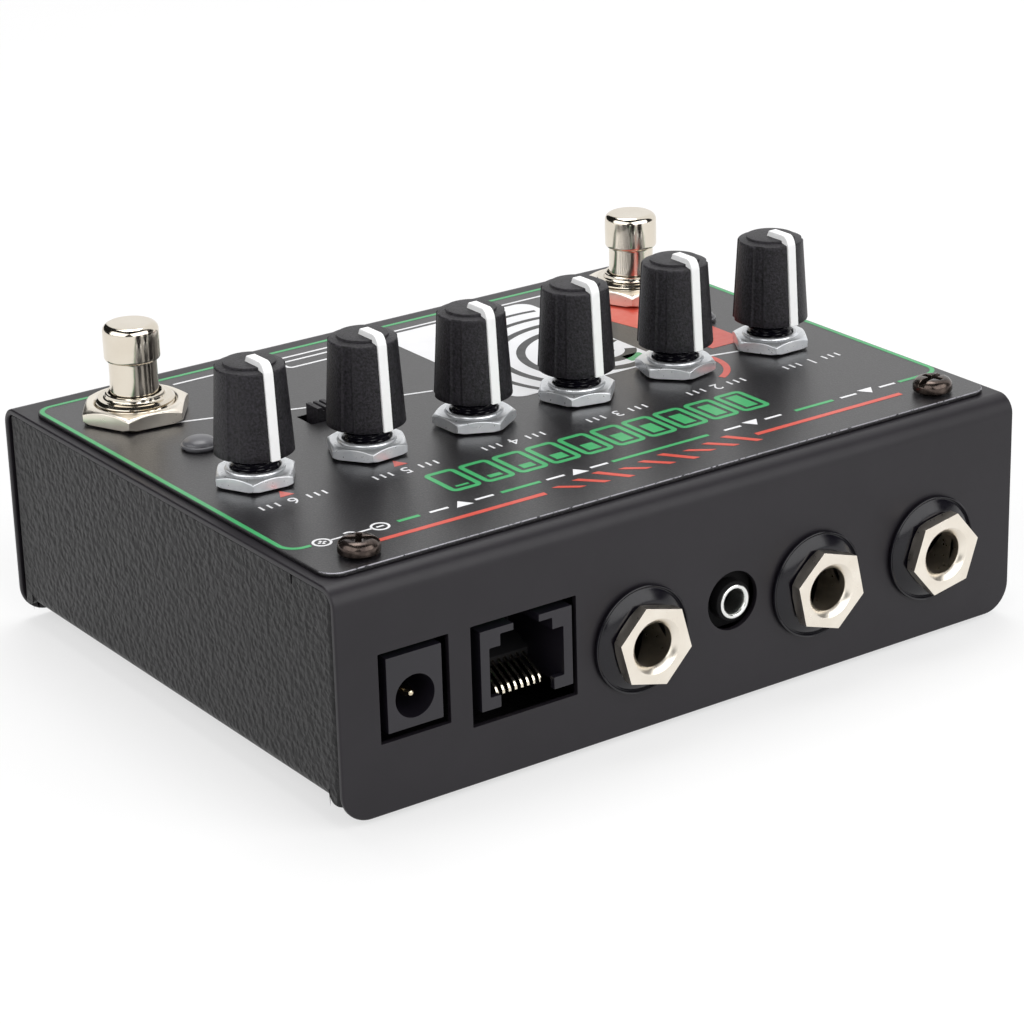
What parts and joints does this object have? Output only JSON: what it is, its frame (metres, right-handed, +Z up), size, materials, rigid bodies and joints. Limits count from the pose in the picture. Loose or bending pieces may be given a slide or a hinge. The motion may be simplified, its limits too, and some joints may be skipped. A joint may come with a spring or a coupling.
{
  "type": "effects pedal",
  "caption": "Low black metal box with a row of tapered dials on top, two foot buttons along the front edge, and jack, mini, power and modular sockets on the rear wall.",
  "frame": {"origin": "on the surface that the pedal stands on, under the middle of its outline", "axes": "+X along the dial row, +Y towards the socket wall, +Z up"},
  "size_m": [0.1216, 0.0986, 0.0554],
  "materials": {
    "case_enamel": "satin black stoved enamel on folded sheet steel",
    "textured_enamel": "black enamel with a raised wrinkle texture on sheet steel",
    "printed_plate": "satin black plate with screen-printed green, red and white marks",
    "circuit_board": "green solder mask on glass-fibre board",
    "knob_plastic": "fine-grained black moulded plastic",
    "housing_plastic": "black moulded plastic",
    "collar_plastic": "glossy near-black moulded plastic",
    "shaft_metal": "plain plated steel",
    "bright_nickel": "bright zinc-nickel plate, lightly worn",
    "warm_nickel": "bright warm-toned nickel plate",
    "contact_gold": "gold-plated spring wire",
    "screw_steel": "burnished black-brown screw steel",
    "light_lens": "frosted grey lens",
    "foot_rubber": "black rubber"
  },
  "bodies": {
    "case": {"shell": "case_enamel", "chassis": "textured_enamel", "faceplate": "printed_plate", "main_board": "circuit_board", "pot_body_1": "housing_plastic", "pot_body_2": "housing_plastic", "pot_body_3": "housing_plastic", "pot_body_4": "housing_plastic", "pot_body_5": "housing_plastic", "pot_body_6": "housing_plastic", "jack_body_1": "housing_plastic", "jack_body_2": "housing_plastic", "jack_body_3": "housing_plastic", "mini_jack_body": "housing_plastic", "power_socket": "housing_plastic", "modular_socket_body": "housing_plastic", "jack_collar_1": "collar_plastic", "jack_collar_2": "collar_plastic", "jack_collar_3": "collar_plastic", "slide_switch_body": "shaft_metal", "pot_nut_1": "bright_nickel", "pot_nut_2": "bright_nickel", "pot_nut_3": "bright_nickel", "pot_nut_4": "bright_nickel", "pot_nut_5": "bright_nickel", "pot_nut_6": "bright_nickel", "footswitch_body_1": "warm_nickel", "footswitch_body_2": "warm_nickel", "footswitch_nut_1": "warm_nickel", "footswitch_nut_2": "warm_nickel", "jack_ferrule_1": "warm_nickel", "jack_ferrule_2": "warm_nickel", "jack_ferrule_3": "warm_nickel", "mini_jack_sleeve": "warm_nickel", "modular_socket_contacts": "contact_gold", "faceplate_screw_1": "screw_steel", "faceplate_screw_2": "screw_steel", "base_screw_1": "screw_steel", "base_screw_2": "screw_steel", "status_light_1": "light_lens", "status_light_2": "light_lens", "rubber_foot_1": "foot_rubber", "rubber_foot_2": "foot_rubber", "rubber_foot_3": "foot_rubber", "rubber_foot_4": "foot_rubber"},
    "dial_1": {"knob_1": "knob_plastic", "pot_shaft_1": "shaft_metal"},
    "dial_2": {"knob_2": "knob_plastic", "pot_shaft_2": "shaft_metal"},
    "dial_3": {"knob_3": "knob_plastic", "pot_shaft_3": "shaft_metal"},
    "dial_4": {"knob_4": "knob_plastic", "pot_shaft_4": "shaft_metal"},
    "dial_5": {"knob_5": "knob_plastic", "pot_shaft_5": "shaft_metal"},
    "dial_6": {"knob_6": "knob_plastic", "pot_shaft_6": "shaft_metal"},
    "foot_button_1": {"footswitch_plunger_1": "warm_nickel"},
    "foot_button_2": {"footswitch_plunger_2": "warm_nickel"},
    "slide_lever": {"slide_switch_lever": "knob_plastic"}
  },
  "joints": [
    {"name": "dial_1_turn", "type": "hinge", "parent": "case", "child": "dial_1", "pos_m": [0.04809, 0.00492, 0.041], "axis": [0, 0, 1], "range_deg": [-150, 150]},
    {"name": "dial_2_turn", "type": "hinge", "parent": "case", "child": "dial_2", "pos_m": [0.02916, 0.00492, 0.041], "axis": [0, 0, 1], "range_deg": [-150, 150]},
    {"name": "dial_3_turn", "type": "hinge", "parent": "case", "child": "dial_3", "pos_m": [0.01023, 0.00492, 0.041], "axis": [0, 0, 1], "range_deg": [-150, 150]},
    {"name": "dial_4_turn", "type": "hinge", "parent": "case", "child": "dial_4", "pos_m": [-0.00871, 0.00492, 0.041], "axis": [0, 0, 1], "range_deg": [-150, 150]},
    {"name": "dial_5_turn", "type": "hinge", "parent": "case", "child": "dial_5", "pos_m": [-0.02764, 0.00492, 0.041], "axis": [0, 0, 1], "range_deg": [-150, 150]},
    {"name": "dial_6_turn", "type": "hinge", "parent": "case", "child": "dial_6", "pos_m": [-0.04657, 0.00492, 0.041], "axis": [0, 0, 1], "range_deg": [-150, 150]},
    {"name": "foot_button_1_press", "type": "slide", "parent": "case", "child": "foot_button_1", "axis": [0, 0, -1], "range_m": [0, 0.0015], "stiffness_N_per_m": 2000, "springref_m": -0.001},
    {"name": "foot_button_2_press", "type": "slide", "parent": "case", "child": "foot_button_2", "axis": [0, 0, -1], "range_m": [0, 0.0008], "stiffness_N_per_m": 2000, "springref_m": -0.001},
    {"name": "slide_lever_throw", "type": "slide", "parent": "case", "child": "slide_lever", "axis": [-1, 0, 0], "range_m": [0, 0.003]}
  ]
}
